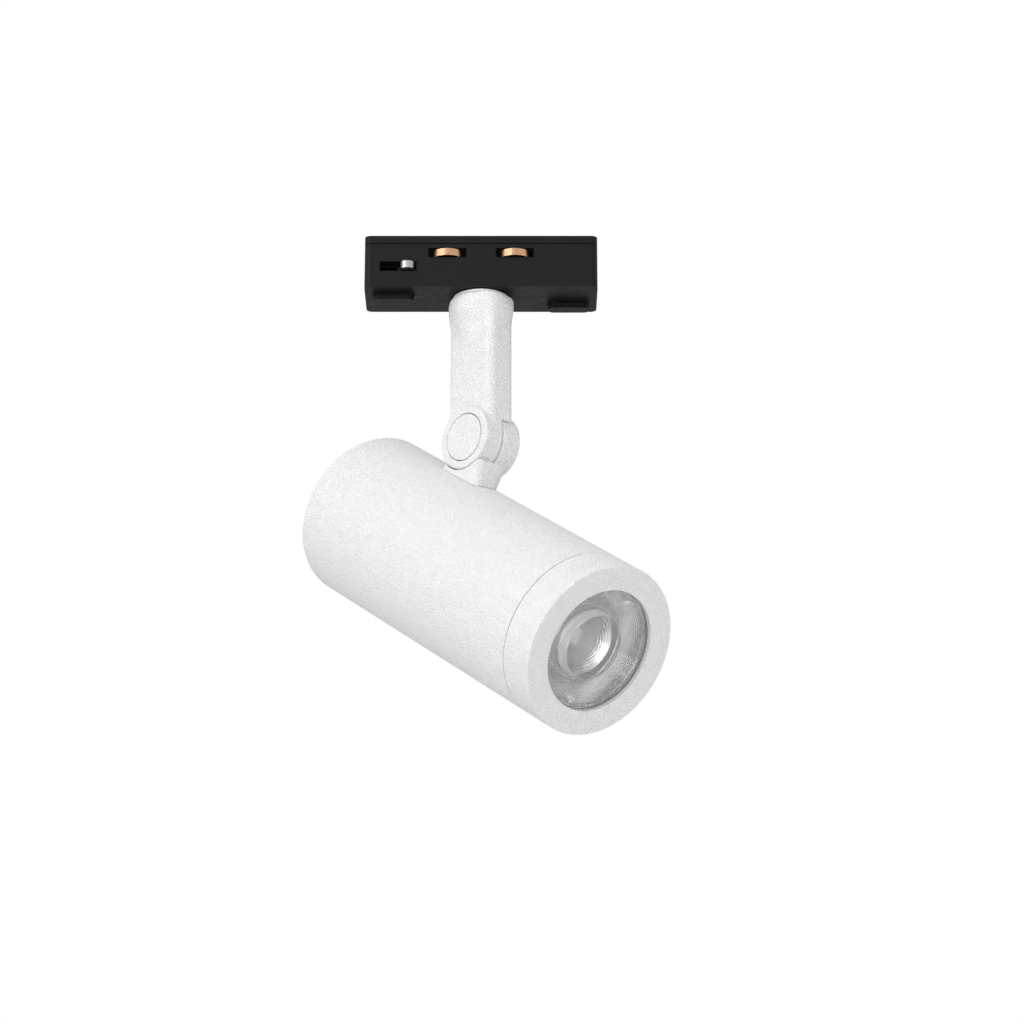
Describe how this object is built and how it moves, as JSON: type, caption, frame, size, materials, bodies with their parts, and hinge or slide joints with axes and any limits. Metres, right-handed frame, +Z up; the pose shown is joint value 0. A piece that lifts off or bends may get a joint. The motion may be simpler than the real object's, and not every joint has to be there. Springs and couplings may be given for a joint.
{
  "type": "track spotlight",
  "caption": "Cylindrical LED track spotlight: the head tilts on a two-ear knuckle, its flat stem swivels under a low-voltage track adapter with sprung contacts and turning lock arms.",
  "frame": {"origin": "centre of the adapter's flat top face, which meets the ceiling of the track's channel", "axes": "+X along the track, +Y across it and away from the side the lamp is looked at from, +Z up out of the adapter's top face"},
  "size_m": [0.1176, 0.1176, 0.173],
  "materials": {
    "white_coat": "matt textured powder coat",
    "black_plastic": "fine satin moulding",
    "steel": "zinc plated",
    "nickel": "nickel plated magnet",
    "copper": "copper alloy spring strip",
    "aluminium": "plain extruded",
    "white_plastic": "satin",
    "mirror_coat": "vacuum-metallised plastic",
    "board": "solder mask",
    "ceramic": "plain",
    "phosphor": "silicone phosphor",
    "rubber": "matt",
    "dark_part": "moulded",
    "wire_sheath": "sheathed lead",
    "clear_lens": "clear moulded optic"
  },
  "bodies": {
    "adapter": {"adapter_body": "black_plastic", "adapter_cover": "black_plastic", "swivel_nipple": "steel", "swivel_nut": "steel", "contact_board": "board", "magnet_front": "nickel", "magnet_rear": "nickel", "cover_screw_front": "steel", "cover_screw_rear": "steel"},
    "lock_front": {"lock_arm_front": "steel", "lock_lever_front": "black_plastic"},
    "lock_rear": {"lock_arm_rear": "steel", "lock_lever_rear": "black_plastic"},
    "contact_front_left": {"contact_front_left": "copper"},
    "contact_front_right": {"contact_front_right": "copper"},
    "contact_rear_left": {"contact_rear_left": "copper"},
    "contact_rear_right": {"contact_rear_right": "copper"},
    "stem": {"stem": "white_coat", "pan_washer": "white_plastic", "pan_friction_ring": "dark_part", "swivel_retainer": "aluminium", "pivot_cap_stem": "white_coat", "pivot_bolt": "steel", "pivot_nut": "steel", "stem_lead": "wire_sheath"},
    "front_ring": {"front_bezel": "white_coat"},
    "head": {"tilt_bracket": "white_coat", "pivot_cap_head": "white_coat", "pivot_spring_washer": "steel", "friction_washer": "dark_part", "housing_tube": "white_coat", "foot_screw_1": "steel", "foot_screw_2": "steel", "rear_cap": "white_coat", "rear_screw_1": "steel", "rear_screw_2": "steel", "rear_screw_3": "steel", "head_lead": "wire_sheath", "lens_gasket": "rubber", "optic_lens": "clear_lens", "lens_holder": "mirror_coat", "heatsink": "aluminium", "thermal_pad": "rubber", "led_board": "ceramic", "led_emitter": "phosphor", "led_clamp": "white_plastic", "led_lead": "wire_sheath", "led_screw_a": "steel", "led_screw_b": "steel", "driver_tray": "white_plastic", "driver_board": "board", "driver_inductor": "dark_part", "driver_capacitor_a": "dark_part", "driver_capacitor_b": "dark_part", "driver_terminal": "white_plastic"}
  },
  "joints": [
    {"name": "pan", "type": "hinge", "parent": "adapter", "child": "stem", "pos_m": [0, 0, -0.0685], "axis": [0, 0, 1], "range_deg": [-175, 175]},
    {"name": "tilt", "type": "hinge", "parent": "stem", "child": "head", "pos_m": [0, 0, -0.0685], "axis": [0.7071, 0.7071, 0], "range_deg": [-34, 56]},
    {"name": "front_ring_twist", "type": "hinge", "parent": "head", "child": "front_ring", "pos_m": [0.03361, -0.03361, -0.14736], "axis": [0.5862, -0.5862, -0.5592], "range_deg": [0, 30]},
    {"name": "lock_front_turn", "type": "hinge", "parent": "adapter", "child": "lock_front", "pos_m": [0.024, 0.0035, -0.0108], "axis": [0, 0, 1], "range_deg": [-90, 0]},
    {"name": "lock_rear_turn", "type": "hinge", "parent": "adapter", "child": "lock_rear", "pos_m": [-0.024, -0.0035, -0.0108], "axis": [0, 0, 1], "range_deg": [-90, 0]},
    {"name": "press_front_left", "type": "slide", "parent": "adapter", "child": "contact_front_left", "axis": [0, -1, 0], "range_m": [0, 0.0009], "stiffness_N_per_m": 2000},
    {"name": "press_front_right", "type": "slide", "parent": "adapter", "child": "contact_front_right", "axis": [0, 1, 0], "range_m": [0, 0.0009], "stiffness_N_per_m": 2000},
    {"name": "press_rear_left", "type": "slide", "parent": "adapter", "child": "contact_rear_left", "axis": [0, -1, 0], "range_m": [0, 0.0009], "stiffness_N_per_m": 2000},
    {"name": "press_rear_right", "type": "slide", "parent": "adapter", "child": "contact_rear_right", "axis": [0, 1, 0], "range_m": [0, 0.0009], "stiffness_N_per_m": 2000}
  ]
}
